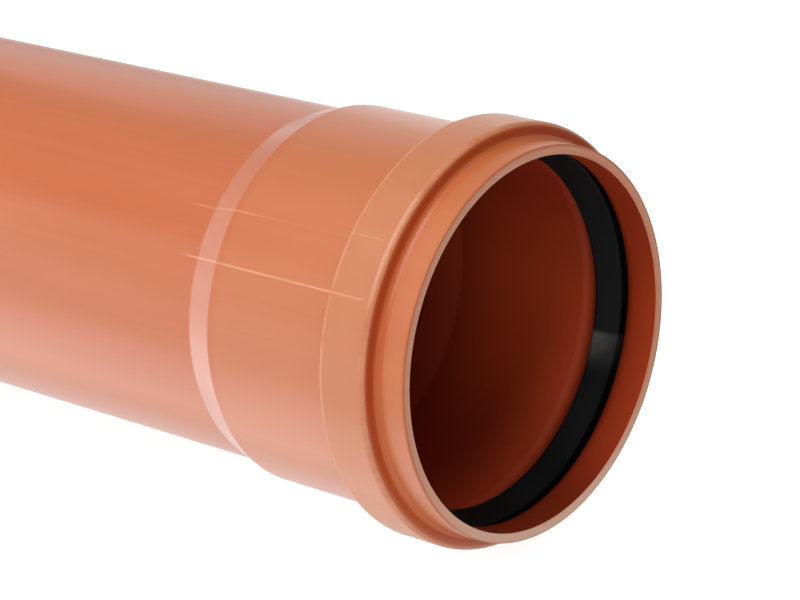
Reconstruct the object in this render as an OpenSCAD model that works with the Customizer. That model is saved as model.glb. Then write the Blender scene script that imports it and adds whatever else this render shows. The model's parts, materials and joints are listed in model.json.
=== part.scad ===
// Sewer pipe with a push-fit socket formed in one piece at one end and a rubber lip seal in
// the socket's groove. The pipe lies on level ground, held up by the groove's ridge and by
// the spigot end, with its mouth towards +X.

/* [Pipe] */
// Outside diameter of the pipe and of its spigot end
pipe_od = 110; // [75:1:200]
// Wall thickness of the pipe
pipe_wall = 3.2; // [2.6:0.1:5]
// Length that the pipe adds to a run, from the spigot end to the bottom of the socket
laying_length = 500; // [250:10:3000]

/* [Spigot end] */
// How much of the wall the bevel on the spigot end takes away
bevel_depth = 1.6; // [0.5:0.1:2.2]
// Slope of the bevel, in degrees from the pipe's axis
bevel_angle = 15; // [10:1:30]

/* [Socket] */
// Depth of the socket, from its mouth to the wide end of the taper
socket_depth = 76; // [60:1:150]
// Wall thickness of the socket
socket_wall = 2.8; // [2.2:0.1:5]
// Gap all round between a spigot and the socket
socket_clearance = 0.25; // [0.1:0.05:0.8]
// Length of the taper from the socket down to the pipe
taper_length = 10.4; // [6:0.2:30]

/* [Mouth lip] */
// Length of the lip outside, from the mouth to the foot of the ridge
lip_length = 10; // [6:0.1:14]
// Wall thickness of the lip
lip_wall = 2.95; // [2.2:0.05:5]
// Gap all round between a spigot and the lip
lip_clearance = 0.45; // [0.2:0.05:1]

/* [Seal groove] */
// Depth of the groove below the socket's bore
groove_depth = 5.05; // [4.5:0.05:8]
// Wall thickness of the ridge over the groove
groove_wall = 2.9; // [2:0.1:4]
// Length of the ridge's front face along the pipe
ridge_front_run = 0.6; // [0.3:0.1:3]
// Length of the ridge's crest along the pipe, corner to corner
ridge_crest = 17.1; // [15:0.1:24]
// Length of the ridge's back face along the pipe
ridge_back_run = 0.6; // [0.3:0.1:4]
// Rounding of the ridge's front shoulder
front_rounding = 2.4; // [0.6:0.1:3]
// Rounding of the ridge's back shoulder
back_rounding = 2; // [0.6:0.1:3]
// Fillet where the ridge's front face meets the lip
front_fillet = 2.6; // [0.4:0.1:3]
// Fillet where the ridge's back face meets the socket
back_fillet = 0.6; // [0.4:0.1:3]
// Rounding of the corners of the groove's floor
groove_rounding = 0.6; // [0.2:0.1:1.2]

/* [Seal ring] */
// Gap between the seal ring and the groove's floor
seal_seat_gap = 0.2; // [0.1:0.05:0.4]
// Gap between the seal ring and each shoulder of the groove's floor
seal_side_gap = 0.8; // [0.3:0.1:1.2]
// Height of the seal ring's front face
seal_front_height = 3.5; // [2.5:0.1:5]
// How far the relaxed sealing lip reaches in past a spigot's surface
lip_squeeze = 2.2; // [1:0.1:3]
// Length of the sealing lip along the pipe
seal_lip_run = 6.7; // [4:0.1:9]
// Thickness of the sealing lip
seal_lip_thickness = 2.2; // [1.2:0.1:3]
// Thickness of the seal ring's heel on the groove's floor
seal_heel = 2.6; // [1.5:0.1:4]
// Rounding of the seal ring's edges
seal_rounding = 0.7; // [0.2:0.1:1]

/* [Hidden] */
$fn = 128;
// Chords that each rounding of a section is drawn with
arc_steps = 8;
// Largest share of an edge that the roundings at its two ends may use between them
edge_share = 0.96;

pipe_r = pipe_od / 2;
bore_r = pipe_r - pipe_wall;
bevel_r = pipe_r - bevel_depth;
bevel_length = bevel_depth / tan(bevel_angle);

socket_bore_r = pipe_r + socket_clearance;
socket_r = socket_bore_r + socket_wall;
lip_bore_r = pipe_r + lip_clearance;
lip_r = lip_bore_r + lip_wall;
groove_r = socket_bore_r + groove_depth;
ridge_r = groove_r + groove_wall;

// Places along the axis, counted from the spigot end
mouth = laying_length + socket_depth;
taper_wide_end = laying_length;
taper_narrow_end = laying_length - taper_length;
ridge_front_foot = mouth - lip_length;
ridge_front = ridge_front_foot - ridge_front_run;
ridge_back = ridge_front - ridge_crest;
ridge_back_foot = ridge_back - ridge_back_run;

// Run of each ridge face for a unit of its height, which the groove inside follows
front_lean = ridge_front_run / (ridge_r - lip_r);
back_lean = ridge_back_run / (ridge_r - socket_r);
// Places of the groove's faces, a wall's thickness behind the ridge's faces
groove_front_foot = ridge_front_foot - wall_step(front_lean) + front_lean * lip_wall;
groove_front = groove_front_foot - front_lean * (groove_r - lip_bore_r);
groove_back_foot = ridge_back_foot + wall_step(back_lean) - back_lean * socket_wall;
groove_back = groove_back_foot + back_lean * groove_depth;

// Places in the seal ring's section
seal_r = groove_r - seal_seat_gap;
seal_front = groove_front - seal_side_gap;
seal_back = groove_back + seal_side_gap;
seal_shoulder_r = seal_r - seal_front_height;
seal_lip_r = pipe_r - lip_squeeze;
seal_tip = seal_front - seal_lip_run;
seal_heel_r = seal_r - seal_heel;
// The sealing lip's direction, and the far corner of its square-cut tip
seal_lip_rise = seal_shoulder_r - seal_lip_r;
seal_lip_slant = norm([seal_lip_run, seal_lip_rise]);
seal_tip_back = seal_tip - seal_lip_thickness * seal_lip_rise / seal_lip_slant;
seal_tip_back_r = seal_lip_r + seal_lip_thickness * seal_lip_run / seal_lip_slant;
seal_notch = seal_tip_back + (seal_heel_r - seal_tip_back_r) * seal_lip_run / seal_lip_rise;

// The pipe's tilt at rest, with the ridge's crest and the top of the bevel on the ground
back_shoulder_reach = back_rounding * tan(atan(1 / back_lean) / 2);
ridge_contact = ridge_back + back_shoulder_reach;
rest_tilt = atan((ridge_r - pipe_r) / (ridge_contact - bevel_length));
spigot_height = ridge_r * cos(rest_tilt) - ridge_contact * sin(rest_tilt);
spigot_x = -(mouth * cos(rest_tilt) + (lip_r - bevel_r) * sin(rest_tilt)) / 2;

// Distance along the axis through a ridge face's wall
function wall_step(lean) = groove_wall * sqrt(1 + lean * lean);

function unit(v) = v / norm(v);

// A corner's place, of its form [radius from the axis, place along the axis, rounding]
function place(corner) = [corner[0], corner[1]];

// Furthest that b's rounding may reach along the edge to its neighbour a
function reach_limit(a, b) = edge_share * norm(place(a) - place(b)) * b[2] / (a[2] + b[2]);

// Points of the arc that rounds the corner b between its neighbours a and c
function corner_arc(a, b, c) =
    let (
        to_a = unit(place(a) - place(b)),
        to_c = unit(place(c) - place(b)),
        half = acos(to_a * to_c) / 2,
        reach = min(b[2] / tan(half), reach_limit(a, b), reach_limit(c, b)),
        centre = place(b) + unit(to_a + to_c) * reach / cos(half),
        start = place(b) + to_a * reach - centre,
        end = place(b) + to_c * reach - centre,
        turn = atan2(start.x * end.y - start.y * end.x, start * end)
    )
    [for (i = [0:arc_steps])
        let (angle = turn * i / arc_steps, across = [-start.y, start.x])
        centre + start * cos(angle) + across * sin(angle)];

// Outline through corners, each rounded as it asks or as far as its edges allow
function rounded_outline(corners) =
    let (count = len(corners))
    [for (i = [0:count - 1])
        each corners[i][2] > 0
            ? corner_arc(corners[(i + count - 1) % count], corners[i], corners[(i + 1) % count])
            : [place(corners[i])]];

// Turns a section about the axis and lays the result on the ground
module turned_and_laid(corners)
    translate([spigot_x, 0, spigot_height])
    rotate([0, 90 - rest_tilt, 0])
    rotate_extrude()
    polygon(rounded_outline(corners));

module pipe()
    color([0.83, 0.51, 0.37])
    turned_and_laid([
        // Outside, from the spigot end to the mouth
        [bevel_r, 0, 0],
        [pipe_r, bevel_length, 0],
        [pipe_r, taper_narrow_end, 0],
        [socket_r, taper_wide_end, 0],
        [socket_r, ridge_back_foot, back_fillet],
        [ridge_r, ridge_back, back_rounding],
        [ridge_r, ridge_front, front_rounding],
        [lip_r, ridge_front_foot, front_fillet],
        [lip_r, mouth, 0],
        // Inside, from the mouth back to the spigot end
        [lip_bore_r, mouth, 0],
        [lip_bore_r, groove_front_foot, front_fillet + groove_wall],
        [groove_r, groove_front, groove_rounding],
        [groove_r, groove_back, groove_rounding],
        [socket_bore_r, groove_back_foot, back_fillet + groove_wall],
        [socket_bore_r, taper_wide_end, 0],
        [bore_r, taper_narrow_end, 0],
        [bore_r, 0, 0]
    ]);

module seal_ring()
    color([0.08, 0.08, 0.08])
    turned_and_laid([
        [seal_r, seal_front, seal_rounding],
        [seal_r, seal_back, seal_rounding],
        [seal_heel_r, seal_back, seal_rounding],
        // The notch between heel and lip, open to the water's side
        [seal_heel_r, seal_notch, seal_rounding],
        [seal_tip_back_r, seal_tip_back, seal_rounding],
        [seal_lip_r, seal_tip, seal_rounding],
        [seal_shoulder_r, seal_front, seal_rounding]
    ]);

pipe();
seal_ring();
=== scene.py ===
import json
import math

import bpy
import numpy as np
from mathutils import Matrix, Vector


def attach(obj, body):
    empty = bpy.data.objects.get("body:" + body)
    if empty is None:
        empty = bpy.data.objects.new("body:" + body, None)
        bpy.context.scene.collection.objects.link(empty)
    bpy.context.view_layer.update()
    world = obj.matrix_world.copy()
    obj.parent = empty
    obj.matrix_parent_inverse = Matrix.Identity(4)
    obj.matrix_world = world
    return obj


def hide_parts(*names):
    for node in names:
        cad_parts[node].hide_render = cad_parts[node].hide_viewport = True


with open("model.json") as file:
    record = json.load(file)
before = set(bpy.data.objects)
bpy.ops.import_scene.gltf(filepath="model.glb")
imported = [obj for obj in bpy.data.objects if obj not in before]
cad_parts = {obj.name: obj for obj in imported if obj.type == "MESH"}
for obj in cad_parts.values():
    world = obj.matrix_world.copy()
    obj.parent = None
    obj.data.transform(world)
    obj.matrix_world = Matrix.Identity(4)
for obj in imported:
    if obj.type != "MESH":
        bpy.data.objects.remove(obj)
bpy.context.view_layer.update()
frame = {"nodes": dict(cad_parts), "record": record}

MM = 0.001
DEGREE = math.pi / 180

# Picture that the view is made for
IMAGE_WIDTH_PX = 800
FOCAL_LENGTH_PX = 3356
SENSOR_MM = 36

# View of the mouth
VIEW_AZIMUTH = 41.67 * DEGREE
VIEW_ELEVATION = 17.89 * DEGREE
VIEW_DISTANCE = 962.1 * MM
AIM_LEFT_OF_MOUTH = 39.6 * MM
AIM_ABOVE_MOUTH = 13.0 * MM

# Mesh density and the small roundings that the solids leave sharp
SEGMENTS = 320
LONGEST_BAND = 24 * MM
OUTER_RIM_EDGE = 0.3 * MM
INNER_RIM_EDGE = 0.35 * MM
TAPER_EDGE = 2.5 * MM
SPIGOT_EDGE = 0.4 * MM
SOFTENING_STEPS = 6
SHARP_TURN = 11 * DEGREE
# Vertices of the CAD mesh this close in section belong to one ring
SAME_RING = 0.02 * MM
# Corners that turn less than this are points on a straight line of the section
STRAIGHT = 0.5 * DEGREE
# Share of the bake's map that a length of the socket takes, against the plain pipe
SOCKET_MAP_SHARE = 3.0

# The sealing lip sags deeper into the socket on the upper far side
LIP_SAG = 1.5 * MM
LIP_SAG_AT = 309 * DEGREE
LIP_SAG_SPREAD = 34 * DEGREE
# Where a painted highlight lies on the seal, as an angle from the top, and how far it fades out
SEAL_HIGHLIGHT_AT = 255.4 * DEGREE
SEAL_HIGHLIGHT_FADE_BELOW = 12.6 * DEGREE
SEAL_HIGHLIGHT_FADE_ABOVE = 1.7 * DEGREE

# Scratches along the pipe: angle from the top, start counted from the mouth, and width
LONG_SCRATCH_ANGLE = 67.0 * DEGREE
LONG_SCRATCH_START = 89 * MM
LONG_SCRATCH_WIDTH = 0.43 * MM
FAINT_SCRATCH_ANGLE = 51.0 * DEGREE
FAINT_SCRATCH_START = 93 * MM
FAINT_SCRATCH_WIDTH = 0.28 * MM
# How far a scratch strays from a straight line, from side to side
SCRATCH_WANDER = 0.25 * MM


# The pipe's axis, from the record's mounts
mounts = {mount["name"]: mount for mount in frame["record"]["mounts"]}
waterway = mounts["waterway"]
axis = -np.array(waterway["axis"])
axis /= np.linalg.norm(axis)
taper_start = waterway["dims"]["length_mm"] * MM
spigot_end = np.array(waterway["pos_m"]) - axis * taper_start / 2
bevel_length = taper_start - mounts["spigot"]["dims"]["length_mm"] * MM
# The pipe's own frame: X upwards, Y towards the viewer's side, Z along the axis to the mouth
side = np.array([0.0, -1.0, 0.0])
upright = np.cross(side, axis)
turned = np.column_stack([upright, side, axis])
pipe_frame = Matrix.Translation(spigot_end) @ Matrix(turned).to_4x4()


class Wire:
    """An output socket of a finish. Arithmetic on wires adds Math nodes."""

    def __init__(self, finish, socket):
        self.finish = finish
        self.socket = socket

    def math(self, operation, *values):
        return self.finish.node("ShaderNodeMath", {"operation": operation}, dict(enumerate(values)))

    def __add__(self, other):
        return self.math("ADD", self, other)

    def __sub__(self, other):
        return self.math("SUBTRACT", self, other)

    def __rsub__(self, other):
        return self.math("SUBTRACT", other, self)

    def __mul__(self, other):
        return self.math("MULTIPLY", self, other)

    def __abs__(self):
        return self.math("ABSOLUTE", self)

    __radd__ = __add__
    __rmul__ = __mul__

    def ramp(self, low, high):
        """0 below low and 1 above high, with a smooth rise between them."""
        settings = {"interpolation_type": "SMOOTHSTEP", "clamp": True}
        sockets = {"Value": self, "From Min": low, "From Max": high}
        return self.finish.node("ShaderNodeMapRange", settings, sockets)

    def band(self, low, high, soft):
        """1 between low and high, fading to 0 over soft outside them."""
        return self.ramp(low - soft, low) * (1 - self.ramp(high, high + soft))


class Finish:
    """A material whose nodes are added one at a time."""

    def __init__(self, name):
        self.material = bpy.data.materials.new(name)
        self.material.use_nodes = True
        self.tree = self.material.node_tree
        self.shader = self.tree.nodes["Principled BSDF"]
        world = self.node("ShaderNodeTexCoord", {}, {}, "Object")
        laid = {
            "Vector": world,
            "Location": pipe_frame.to_translation(),
            "Rotation": pipe_frame.to_euler(),
        }
        self.place = self.node("ShaderNodeMapping", {"vector_type": "TEXTURE"}, laid)

    def node(self, kind, settings, sockets, output=0):
        """Adds a node. Its settings are set first, then each socket gets a value or a link."""
        made = self.tree.nodes.new(kind)
        for name, value in settings.items():
            setattr(made, name, value)
        for name, value in sockets.items():
            self.feed(made.inputs[name], value)
        return Wire(self, made.outputs[output])

    def feed(self, socket, value):
        if isinstance(value, Wire):
            self.tree.links.new(value.socket, socket)
        else:
            socket.default_value = value

    def surface(self, **sockets):
        """Values and links of the shader's own sockets, named with _ for a space."""
        for name, value in sockets.items():
            self.feed(self.shader.inputs[name.replace("_", " ")], value)

    def mix(self, factor, first, second):
        """A colour between first and second."""
        sockets = {0: factor, 6: first, 7: second}
        return self.node("ShaderNodeMix", {"data_type": "RGBA"}, sockets, 2)

    def coordinate(self, letter):
        """One coordinate in the pipe's own frame."""
        return self.node("ShaderNodeSeparateXYZ", {}, {0: self.place}, letter)

    def along(self):
        """Place along the axis, from the spigot end."""
        return self.coordinate("Z")

    def out(self):
        """Distance from the axis."""
        up = self.coordinate("X")
        side = self.coordinate("Y")
        squares = up * up + side * side
        return squares.math("SQRT", squares)

    def around(self):
        """Angle about the axis, from the top."""
        up = self.coordinate("X")
        return up.math("ARCTAN2", self.coordinate("Y"), up)

    def stretched(self, across, along):
        """The place on the piece, scaled across and along the pipe's axis."""
        sockets = {0: self.place, 1: (across, across, along)}
        return self.node("ShaderNodeVectorMath", {"operation": "MULTIPLY"}, sockets)

    def noise(self, vector, size, detail=3.0, roughness=0.55):
        """Noise whose largest patches are about the given size."""
        sockets = {"Vector": vector, "Scale": 1 / size, "Detail": detail, "Roughness": roughness}
        return self.node("ShaderNodeTexNoise", {}, sockets, 0)

    def bump(self, height, depth, under=None):
        sockets = {"Height": height, "Distance": depth, "Strength": 1.0}
        if under is not None:
            sockets["Normal"] = under
        return self.node("ShaderNodeBump", {}, sockets)


def section_of(node):
    """Corners of a turned node's section, in order, as [distance from the axis, place along it]."""
    mesh = frame["nodes"][node].data
    points = np.array([vertex.co for vertex in mesh.vertices]) - spigot_end
    along = points @ axis
    out = np.linalg.norm(points - np.outer(along, axis), axis=1)
    places = np.column_stack([out, along])
    ring = np.full(len(places), -1)
    corners = []
    while (ring < 0).any():
        seed = places[np.argmax(ring < 0)]
        near = np.linalg.norm(places - seed, axis=1) < SAME_RING
        ring[near] = len(corners)
        corners.append(places[near].mean(axis=0))
    corners = np.array(corners)
    beside = {}
    for edge in mesh.edges:
        first, second = (ring[i] for i in edge.vertices)
        if first != second:
            beside.setdefault(first, set()).add(second)
            beside.setdefault(second, set()).add(first)
    loop = [0]
    while len(loop) < len(corners):
        here = corners[loop[-1]]
        onward = [i for i in beside[loop[-1]] if i not in loop]
        loop.append(min(onward, key=lambda i: np.linalg.norm(corners[i] - here)))
    section = corners[loop]
    turns = [turn_at(*three) for three in zip(np.roll(section, 1, 0), section, np.roll(section, -1, 0))]
    return section[np.array(turns) > STRAIGHT]


def outward(section):
    """The section in the order that turns its faces outwards: up the outside, down the inside."""
    out, along = section.T
    area = np.sum(out * np.roll(along, -1) - np.roll(out, -1) * along)
    return section if area > 0 else section[::-1]


def turn_at(before, corner, after):
    """Angle by which an outline turns at a corner."""
    first = corner - before
    second = after - corner
    return abs(math.atan2(first[0] * second[1] - first[1] * second[0], first @ second))


def softened(section, radius_at):
    """The section with its sharp corners rounded by the radius that radius_at gives."""
    points = []
    for before, corner, after in zip(np.roll(section, 1, 0), section, np.roll(section, -1, 0)):
        turn = turn_at(before, corner, after)
        if turn < SHARP_TURN:
            points.append(corner)
            continue
        to_before = (before - corner) / np.linalg.norm(before - corner)
        to_after = (after - corner) / np.linalg.norm(after - corner)
        reach = radius_at(corner) * math.tan(turn / 2)
        for step in np.linspace(0, 1, SOFTENING_STEPS + 1):
            pull = (1 - step) ** 2 * to_before + step ** 2 * to_after
            points.append(corner + reach * pull)
    return np.array(points)


def divided(section):
    """The section with its long bands cut into shorter ones."""
    points = []
    for here, onward in zip(section, np.roll(section, -1, 0)):
        pieces = math.ceil(np.linalg.norm(onward - here) / LONGEST_BAND)
        for step in range(pieces):
            points.append(here + (onward - here) * step / pieces)
    return np.array(points)


def band_lengths(section):
    return np.linalg.norm(np.roll(section, -1, 0) - section, axis=1)


def section_normals(section):
    """The surface's direction at each point, taken mostly from the longer band beside it."""
    run = np.roll(section, -1, 0) - section
    facing = np.column_stack([run[:, 1], -run[:, 0]])
    normals = facing + np.roll(facing, 1, 0)
    return normals / np.linalg.norm(normals, axis=1)[:, None]


def in_the_world(out, along, angles):
    """Points or directions of a section turned to each angle, with the pipe's frame undone."""
    x = np.cos(angles)[:, None] * out
    y = np.sin(angles)[:, None] * out
    z = np.broadcast_to(along, x.shape)
    return np.stack([x, y, z], axis=-1).reshape(-1, 3) @ turned.T


def turned_piece(name, section, node, finishes, finish_of_band, sag=None):
    """A ring-shaped mesh turned from a section, standing for a CAD node."""
    count = len(section)
    # The first and last segments meet underneath
    angles = np.linspace(math.pi, 3 * math.pi, SEGMENTS, endpoint=False)
    out, along = section.T
    if sag is not None:
        along = along - sag(angles[:, None], out[None, :])
    vertices = in_the_world(out, along, angles) + spigot_end
    i, j = np.meshgrid(np.arange(SEGMENTS), np.arange(count), indexing="ij")
    here = i * count
    onward = (i + 1) % SEGMENTS * count
    next_j = (j + 1) % count
    quads = np.stack([here + j, onward + j, onward + next_j, here + next_j], -1)
    mesh = bpy.data.meshes.new(name)
    mesh.from_pydata(vertices.tolist(), [], quads.reshape(-1, 4).tolist())
    mesh.shade_smooth()
    normals = section_normals(section)
    facing = in_the_world(normals[:, 0], normals[:, 1], angles)
    mesh.normals_split_custom_set_from_vertices(facing.tolist())

    # Map for the bake: round the pipe one way and along the section the other
    share = np.where(section[:, 1] > taper_start - LONGEST_BAND, SOCKET_MAP_SHARE, 1.0)
    height = np.concatenate([[0], np.cumsum(band_lengths(section) * share)])
    height /= height[-1]
    u = np.stack([i, i + 1, i + 1, i], -1) / SEGMENTS
    v = np.stack([height[j], height[j], height[j + 1], height[j + 1]], -1)
    layer = mesh.uv_layers.new(name="OFBake")
    layer.data.foreach_set("uv", np.stack([u, v], -1).ravel())

    for finish in finishes:
        mesh.materials.append(finish.material)
    mesh.polygons.foreach_set("material_index", np.tile(finish_of_band, SEGMENTS).astype(np.int32))
    mesh.update()
    piece = bpy.data.objects.new(name, mesh)
    bpy.context.scene.collection.objects.link(piece)
    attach(piece, "root")
    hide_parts(node)


pipe_corners = outward(section_of("pipe"))
seal_section = outward(section_of("seal_ring"))
# Places on the pipe and the seal that the edges and finishes go by
mouth_place = pipe_corners[:, 1].max()
pipe_radius = mounts["spigot"]["dims"]["r_mm"] * MM
taper_end = pipe_corners[pipe_corners[:, 1] > taper_start + MM][:, 1].min()
crest_radius = pipe_corners[:, 0].max()
crest = pipe_corners[pipe_corners[:, 0] > crest_radius - SAME_RING]
crest_back = crest[:, 1].min()
crest_front = crest[:, 1].max()
lip_radius = pipe_corners[np.argmax(pipe_corners.sum(axis=1))][0]
lip_bore = pipe_corners[np.argmax(pipe_corners[:, 1] - pipe_corners[:, 0])][0]
before_mouth = pipe_corners[pipe_corners[:, 1] < mouth_place - MM]
fold_end = before_mouth[before_mouth[:, 0] > lip_radius - SAME_RING][:, 1].max()
seal_shoulder = seal_section[seal_section[:, 1] > seal_section[:, 1].max() - SAME_RING][:, 0].min()
seal_tip = seal_section[:, 0].min()


def pipe_edge(corner):
    """Rounding of a sharp corner of the pipe's section."""
    if corner[1] > mouth_place - MM:
        return OUTER_RIM_EDGE if corner[0] > lip_radius - MM else INNER_RIM_EDGE
    if corner[1] < 2 * bevel_length:
        return SPIGOT_EDGE
    return TAPER_EDGE


SKIN, SAWN, BORE = range(3)


def pipe_finish_of_band(section):
    """Which finish each band of the pipe's section gets: skin, sawn end or bore."""
    out, along = section.T
    first = np.argmin(along - out)
    order = (np.arange(len(section)) - first) % len(section)
    mouth_outside = order[along > mouth_place - SAME_RING / 2].min()
    near_mouth = along > mouth_place - 2 * INNER_RIM_EDGE
    mouth_inside = order[near_mouth & (out < lip_bore + SAME_RING / 2)].min()
    spigot_inside = order[np.argmin(along + out)]
    finish = np.full(len(section), SKIN)
    finish[order >= mouth_outside] = SAWN
    finish[order >= mouth_inside] = BORE
    finish[order >= spigot_inside] = SAWN
    bevel = (order < mouth_outside) & (along < bevel_length - SPIGOT_EDGE)
    finish[bevel] = SAWN
    return finish


def scratch(finish, angle, start, width):
    """A scuffed line along the outside, from start, counted from the mouth, to the ridge."""
    along = finish.along()
    wander = finish.noise(finish.stretched(0.0, 1.0), 30 * MM, 2.0)
    pressure = finish.noise(finish.stretched(0.3, 1.0), 7 * MM, 2.0)
    offset = abs((finish.around() - angle) * pipe_radius + (wander - 0.5) * SCRATCH_WANDER)
    line = 1 - offset.ramp(0.25 * width, width)
    begin = mouth_place - start
    stretch = along.ramp(begin - 6 * MM, begin + 3 * MM)
    stretch = stretch * (1 - along.ramp(crest_front - 3 * MM, crest_front - 1 * MM))
    return line * stretch * (0.65 + 0.35 * pressure.ramp(0.3, 0.6))


# Colours of the outside
SKIN_DEEP = (0.295, 0.063, 0.012, 1)
SKIN_PALE = (0.37, 0.088, 0.019, 1)
SKIN_WIDENED = (0.36, 0.135, 0.045, 1)
SKIN_SCUFFED = (0.345, 0.138, 0.064, 1)
SKIN_WORN_AND_HIGHLIGHT = (0.50, 0.23, 0.13, 1)
SKIN_BESIDE_FOLD_SHADE = (0.32, 0.055, 0.006, 1)
SKIN_FOLD_SHADE = (0.30, 0.036, 0.006, 1)
SKIN_AT_RIM = (0.33, 0.055, 0.010, 1)
SKIN_SCRATCHED = (0.53, 0.27, 0.155, 1)


def pvc_skin():
    """Extruded PVC: fine drawn lines along the pipe, a soft mottle, scuffs on the ridge."""
    finish = Finish("pvc_skin")
    along = finish.along()
    around = finish.around()
    from_top = abs(around)
    drawn = finish.noise(finish.stretched(1.0, 0.012), 1.6 * MM, 2.0)
    mottle = finish.noise(finish.stretched(1.0, 0.35), 28 * MM, 4.0)
    colour = finish.mix(0.55 * mottle + 0.45 * drawn, SKIN_DEEP, SKIN_PALE)

    # The socket was widened from the tube, which made it a little paler
    on_socket = along.ramp(taper_end, taper_end + 4 * MM)
    colour = finish.mix(0.2 * on_socket, colour, SKIN_WIDENED)

    # The taper was drawn over a smooth tool, and shines more than the rest, less in one rubbed place
    on_taper = along.band(taper_start + 0.9 * MM, taper_end + 0.1 * MM, 0.6 * MM)
    rubbed = around.band(45 * DEGREE, 54 * DEGREE, 11 * DEGREE)
    on_taper = on_taper * (1 - 0.5 * rubbed)

    # The ridge is scuffed in patches on its crest, worn pale on its back shoulder, and has a painted
    # highlight on its front shoulder
    patches = finish.noise(finish.stretched(1.0, 0.6), 6 * MM, 4.0, 0.65)
    on_crest = along.band(crest_back - 0.5 * MM, crest_front + 1.6 * MM, 0.6 * MM)
    scuffed = on_crest * (0.5 + 0.5 * patches.ramp(0.3, 0.7))
    colour = finish.mix(0.62 * scuffed, colour, SKIN_SCUFFED)
    worn_and_highlight = along.band(crest_back - 1.8 * MM, crest_back - 0.2 * MM, 0.4 * MM)
    worn_and_highlight = worn_and_highlight + 0.7 * along.band(crest_front + 0.5 * MM, crest_front + 1.7 * MM, 0.4 * MM)
    colour = finish.mix(0.38 * worn_and_highlight * patches.ramp(0.25, 0.6), colour, SKIN_WORN_AND_HIGHLIGHT)

    # Painted shade in the fold in front of the ridge and beside it: deep in colour and dull, less so
    # underneath
    underneath = from_top.ramp(85 * DEGREE, 145 * DEGREE)
    lowest = from_top.ramp(140 * DEGREE, 170 * DEGREE)
    on_top = 1 - from_top.ramp(30 * DEGREE, 70 * DEGREE)
    fold_shade = along.band(crest_front + 2.1 * MM, fold_end - 2.3 * MM, 0.25 * MM)
    fold_shade = fold_shade * (1 - 0.45 * underneath - 0.35 * lowest)
    beside_fold_shade = along.band(fold_end - 2.2 * MM, fold_end - 0.4 * MM, 0.8 * MM)
    beside_fold_shade = beside_fold_shade * (1 - 0.2 * on_top)
    colour = finish.mix(0.7 * beside_fold_shade, colour, SKIN_BESIDE_FOLD_SHADE)
    colour = finish.mix(0.78 * fold_shade, colour, SKIN_FOLD_SHADE)

    # The lip is a little dull, and deeper in colour next to the rim
    on_lip = along.ramp(fold_end - 0.5 * MM, fold_end + 1 * MM)
    at_rim = along.ramp(mouth_place - 1.1 * MM, mouth_place - 0.5 * MM)
    colour = finish.mix(0.25 * at_rim, colour, SKIN_AT_RIM)
    dull = 0.32 * fold_shade + 0.28 * beside_fold_shade + 0.1 * on_lip + 0.12 * at_rim

    long_scratch = scratch(finish, LONG_SCRATCH_ANGLE, LONG_SCRATCH_START, LONG_SCRATCH_WIDTH)
    faint_scratch = scratch(finish, FAINT_SCRATCH_ANGLE, FAINT_SCRATCH_START, FAINT_SCRATCH_WIDTH)
    at_taper = 1 - along.ramp(taper_start + 10 * MM, taper_start + 32 * MM)
    long_depth = 0.52 - 0.15 * on_crest
    faint_depth = 0.06 + 0.33 * at_taper + 0.2 * on_crest
    scored = long_depth * long_scratch + faint_depth * faint_scratch
    colour = finish.mix(scored, colour, SKIN_SCRATCHED)

    lines = finish.bump(drawn, 0.002 * MM)
    finish.surface(
        Base_Color=colour,
        Roughness=0.29 + 0.07 * mottle + 0.12 * scuffed + 0.3 * scored + dull,
        Specular_IOR_Level=0.15,
        Coat_Weight=0.58 + 0.08 * mottle + 0.36 * on_taper - 1.6 * dull - 0.25 * scuffed - 0.3 * worn_and_highlight,
        Coat_Roughness=0.29,
        Coat_IOR=1.8,
        Normal=finish.bump(1 - scored, 0.02 * MM, lines),
    )
    return finish


# Colours of the sawn ends
SAWN_DEEP = (0.365, 0.128, 0.062, 1)
SAWN_PALE = (0.49, 0.212, 0.124, 1)
SAWN_OUTER_EDGE = (0.30, 0.066, 0.020, 1)
SAWN_NEAR_EDGE = (0.45, 0.24, 0.145, 1)
SAWN_FAR_EDGE = (0.36, 0.095, 0.038, 1)
SAWN_UNDERNEATH_LIT = (0.53, 0.33, 0.235, 1)


def sawn_pvc():
    """Ends cut by a saw: paler and matt, with a fine grain left by the teeth."""
    finish = Finish("sawn_pvc")
    out = finish.out()
    around = finish.around()
    teeth = finish.noise(finish.place, 0.8 * MM, 4.0, 0.7)
    patches = finish.noise(finish.place, 9 * MM, 3.0)
    colour = finish.mix(0.6 * patches + 0.4 * teeth, SAWN_DEEP, SAWN_PALE)
    # The outer edge is deep in colour, like the skin
    outer_edge = out.ramp(lip_radius - 0.85 * MM, lip_radius - 0.55 * MM)
    colour = finish.mix(0.75 * outer_edge, colour, SAWN_OUTER_EDGE)
    # The inner edge is paler on the near side than on the far side
    inner_edge = 1 - out.ramp(lip_bore, lip_bore + 1.6 * MM)
    near_side = around.ramp(-25 * DEGREE, 15 * DEGREE)
    colour = finish.mix(0.5 * inner_edge * near_side, colour, SAWN_NEAR_EDGE)
    colour = finish.mix(0.45 * inner_edge * (1 - near_side), colour, SAWN_FAR_EDGE)
    # Painted light from the floor: the sawn end is paler underneath
    underneath = abs(around).ramp(105 * DEGREE, 165 * DEGREE)
    colour = finish.mix(0.75 * underneath, colour, SAWN_UNDERNEATH_LIT)
    finish.surface(
        Base_Color=colour,
        Roughness=0.55 + 0.15 * teeth,
        IOR=1.5,
        Normal=finish.bump(teeth, 0.03 * MM),
    )
    return finish


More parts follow.
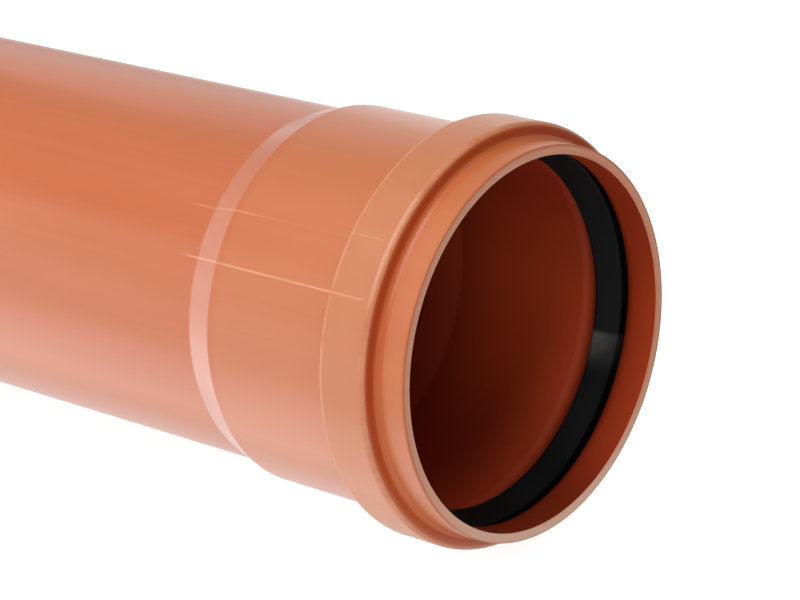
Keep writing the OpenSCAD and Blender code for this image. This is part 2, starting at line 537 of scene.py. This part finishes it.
# Colours of the inside
BORE_DEEP = (0.40, 0.051, 0.0145, 1)
BORE_PALE = (0.475, 0.061, 0.0180, 1)
BORE_SHADED = (0.22, 0.018, 0.008, 1)
BORE_SIDE_LIT = (0.60, 0.075, 0.024, 1)
BORE_PAST_TAPER_SHADE = (0.20, 0.015, 0.006, 1)
LIP_INSIDE_SHADE = (0.235, 0.025, 0.006, 1)
LIP_UNDERNEATH_SHADE = (0.11, 0.012, 0.004, 1)
LIP_SEAL_GAP_SHADE = (0.04, 0.006, 0.003, 1)
ROLLED_EDGE_SHADE = (0.26, 0.030, 0.006, 1)


def pvc_bore():
    """The inside, smoother and without scuffs."""
    finish = Finish("pvc_bore")
    along = finish.along()
    from_top = abs(finish.around())
    drawn = finish.noise(finish.stretched(1.0, 0.012), 1.4 * MM, 3.0, 0.6)
    mottle = finish.noise(finish.stretched(1.0, 0.3), 30 * MM, 3.0)
    colour = finish.mix(0.6 * mottle + 0.4 * drawn, BORE_DEEP, BORE_PALE)

    # Painted shade and painted light inside: deeper in colour overhead, below and past the taper, and
    # brightest at the sides
    overhead = 1 - from_top.ramp(50 * DEGREE, 92 * DEGREE)
    colour = finish.mix(0.8 * overhead, colour, BORE_SHADED)
    beside = from_top.band(98 * DEGREE, 118 * DEGREE, 18 * DEGREE)
    colour = finish.mix(0.4 * beside, colour, BORE_SIDE_LIT)
    below = from_top.ramp(128 * DEGREE, 152 * DEGREE)
    colour = finish.mix(0.3 * below, colour, BORE_SHADED)
    past_taper = 1 - along.ramp(taper_start - 4 * MM, taper_end + 18 * MM)
    colour = finish.mix(0.68 * past_taper, colour, BORE_PAST_TAPER_SHADE)

    # Painted shade inside the lip: the wall is deep in colour, most of all next to the seal and
    # underneath
    on_lip = along.ramp(crest_front - 8 * MM, crest_front - 7 * MM)
    beside_seal_shade = on_lip * (1 - along.ramp(crest_front, mouth_place - 2 * MM))
    colour = finish.mix(0.7 * on_lip + 0.3 * beside_seal_shade, colour, LIP_INSIDE_SHADE)
    underneath = from_top.ramp(135 * DEGREE, 165 * DEGREE)
    colour = finish.mix(0.7 * on_lip * underneath, colour, LIP_UNDERNEATH_SHADE)
    # Painted shade in the gap at the seal, darkest of all, reaching further forward at top and bottom
    steep = abs(finish.coordinate("X")) * (1 / lip_bore)
    gap_end = along - 1.6 * MM * steep * steep
    seal_gap_shade = on_lip * (1 - gap_end.ramp(crest_front - 0.6 * MM, crest_front + 0.8 * MM))
    colour = finish.mix(0.8 * seal_gap_shade, colour, LIP_SEAL_GAP_SHADE)

    # The wall rolls over into the seal's groove with a dull edge, darkened with painted shade
    rolled = along.band(crest_back - 2.5 * MM, crest_back + 0.6 * MM, 1 * MM)
    colour = finish.mix(0.25 * rolled, colour, ROLLED_EDGE_SHADE)
    finish.surface(
        Base_Color=colour,
        Roughness=0.36 + 0.1 * mottle + 0.12 * rolled + 0.45 * past_taper,
        Specular_IOR_Level=0.12,
        Normal=finish.bump(drawn, 0.005 * MM),
    )
    return finish


# Colours of the seal
RUBBER_DEEP = (0.002, 0.002, 0.0022, 1)
RUBBER_PALE = (0.006, 0.006, 0.0062, 1)
RUBBER_HIGHLIGHT = (0.066, 0.067, 0.065, 1)


def seal_rubber():
    """Moulded rubber with a fine grain and a soft shine."""
    finish = Finish("seal_rubber")
    grain = finish.noise(finish.place, 0.7 * MM, 3.0)
    bloom = finish.noise(finish.place, 12 * MM, 4.0)
    colour = finish.mix(0.6 * bloom + 0.4 * grain, RUBBER_DEEP, RUBBER_PALE)

    # The angle from the top, counted through one whole turn
    past_top = finish.around() + 360 * DEGREE
    past_top = past_top.math("MODULO", past_top, 360 * DEGREE)
    # A painted highlight on the far side, which fades out slowly below and ends sharply above
    seal_highlight = past_top.ramp(SEAL_HIGHLIGHT_AT - SEAL_HIGHLIGHT_FADE_BELOW, SEAL_HIGHLIGHT_AT)
    seal_highlight = seal_highlight * (1 - past_top.ramp(SEAL_HIGHLIGHT_AT, SEAL_HIGHLIGHT_AT + SEAL_HIGHLIGHT_FADE_ABOVE))
    inner_side = 1 - 0.7 * finish.out().ramp(seal_tip, seal_shoulder)
    streaks = finish.noise(finish.place, 2.5 * MM, 2.0)
    seal_highlight = seal_highlight * inner_side * (0.75 + 0.25 * streaks.ramp(0.3, 0.7))
    colour = finish.mix(seal_highlight, colour, RUBBER_HIGHLIGHT)
    # Below the mark the rubber has less shine
    dull = past_top.band(208 * DEGREE, 240 * DEGREE, 16 * DEGREE)
    finish.surface(
        Base_Color=colour,
        Roughness=0.42 + 0.14 * bloom,
        Specular_IOR_Level=0.04,
        Coat_Weight=0.1 - 0.1 * dull,
        Coat_Roughness=0.48,
        Normal=finish.bump(grain, 0.012 * MM),
    )
    return finish


def lip_sag(angles, out):
    """How far the sealing lip leans back into the socket."""
    share = np.clip((seal_shoulder - out) / (seal_shoulder - seal_tip), 0, 1)
    away = (angles - LIP_SAG_AT + math.pi) % (2 * math.pi) - math.pi
    return LIP_SAG * np.exp(-(away / LIP_SAG_SPREAD) ** 2) * share


pipe_section = divided(softened(pipe_corners, pipe_edge))
turned_piece(
    "pipe_with_socket", pipe_section, "pipe",
    [pvc_skin(), sawn_pvc(), pvc_bore()], pipe_finish_of_band(pipe_section),
)
turned_piece(
    "lip_seal", seal_section, "seal_ring",
    [seal_rubber()], np.zeros(len(seal_section)), lip_sag,
)

# Floor
FLOOR_HALF = 16.0
FLOOR_BELOW = 0.2 * MM
FLOOR_GLOW = 0.92
# The floor glows as a light, brightest in a strip on each side of the pipe, which lights the pipe's
# underside
STRIP_GLOW = 1.6
STRIP_INNER = 58 * MM
STRIP_OUTER = 106 * MM
STRIP_FADE = 18 * MM
bpy.ops.mesh.primitive_plane_add(size=2 * FLOOR_HALF, location=(0, 0, -FLOOR_BELOW))
floor = bpy.context.object
floor.name = "floor"
glowing_floor = Finish("glowing_floor")
glow_strip = abs(glowing_floor.coordinate("Y")).band(STRIP_INNER, STRIP_OUTER, STRIP_FADE)
glow_strip = glow_strip * (1 - glowing_floor.along().ramp(mouth_place, mouth_place + 3 * STRIP_FADE))
glowing_floor.surface(
    Base_Color=(0.25, 0.25, 0.25, 1),
    Roughness=0.7,
    Emission_Color=FLOOR_GLOW + (STRIP_GLOW - FLOOR_GLOW) * glow_strip,
    Emission_Strength=1.0,
)
floor.data.materials.append(glowing_floor.material)

# Light
ROOM_GLOW = 0.32
world = bpy.context.scene.world or bpy.data.worlds.new("studio")
bpy.context.scene.world = world
world.use_nodes = True
world.node_tree.nodes["Background"].inputs["Color"].default_value = (1, 1, 1, 1)
world.node_tree.nodes["Background"].inputs["Strength"].default_value = ROOM_GLOW


def direction(azimuth, elevation):
    """Unit vector from the pipe towards a viewer or a light, with azimuth 0 on the -Y side."""
    level = math.cos(elevation)
    return Vector((math.sin(azimuth) * level, -math.cos(azimuth) * level, math.sin(elevation)))


def soft_light(name, azimuth, elevation, distance, width, height, brightness):
    """A panel that faces the socket. Angles are in degrees, brightness in watts a square metre."""
    lamp = bpy.data.lights.new(name, "AREA")
    lamp.shape = "RECTANGLE"
    lamp.size = width
    lamp.size_y = height
    lamp.energy = brightness * width * height
    light = bpy.data.objects.new(name, lamp)
    bpy.context.scene.collection.objects.link(light)
    back = direction(azimuth * DEGREE, elevation * DEGREE)
    light.location = socket_middle + back * distance
    light.rotation_euler = (-back).to_track_quat("-Z", "Y").to_euler()
    light.visible_camera = False


# A bright panel in front, weak ones on the other sides, and a low one that lights the mouth a little
socket_middle = Vector(spigot_end + axis * (taper_start + mouth_place) / 2)
soft_light("front_panel", -5, 50, 2.0, 2.0, 2.0, 16)
soft_light("front_left", -42, 10, 2.0, 1.2, 0.8, 2.6)
soft_light("left_panel", -90, 32, 2.0, 2.0, 2.0, 0.7)
soft_light("left_near", -78, 9, 1.05, 1.0, 0.44, 2.5)
soft_light("back_left", -140, 24, 2.0, 1.6, 1.2, 1.8)
soft_light("back_strip", 180, 11, 1.2, 2.2, 0.6, 1.4)
soft_light("top_panel", 0, 90, 2.0, 2.0, 2.0, 2.0)
soft_light("mouth_light", 38, 2, 2.0, 1.0, 0.8, 5)

# Camera
mouth = Vector(spigot_end + axis * mouth_place)
view_back = direction(VIEW_AZIMUTH, VIEW_ELEVATION)
turn = (-view_back).to_track_quat("-Z", "Y")
aim = mouth + turn @ Vector((-AIM_LEFT_OF_MOUTH, AIM_ABOVE_MOUTH, 0))
lens = bpy.data.cameras.new("camera")
lens.sensor_width = SENSOR_MM
lens.lens = FOCAL_LENGTH_PX * SENSOR_MM / IMAGE_WIDTH_PX
lens.clip_start = 10 * MM
camera = bpy.data.objects.new("camera", lens)
bpy.context.scene.collection.objects.link(camera)
camera.location = aim + view_back * VIEW_DISTANCE
camera.rotation_mode = "QUATERNION"
camera.rotation_quaternion = turn
bpy.context.scene.camera = camera
bpy.context.scene.view_settings.view_transform = "Standard"
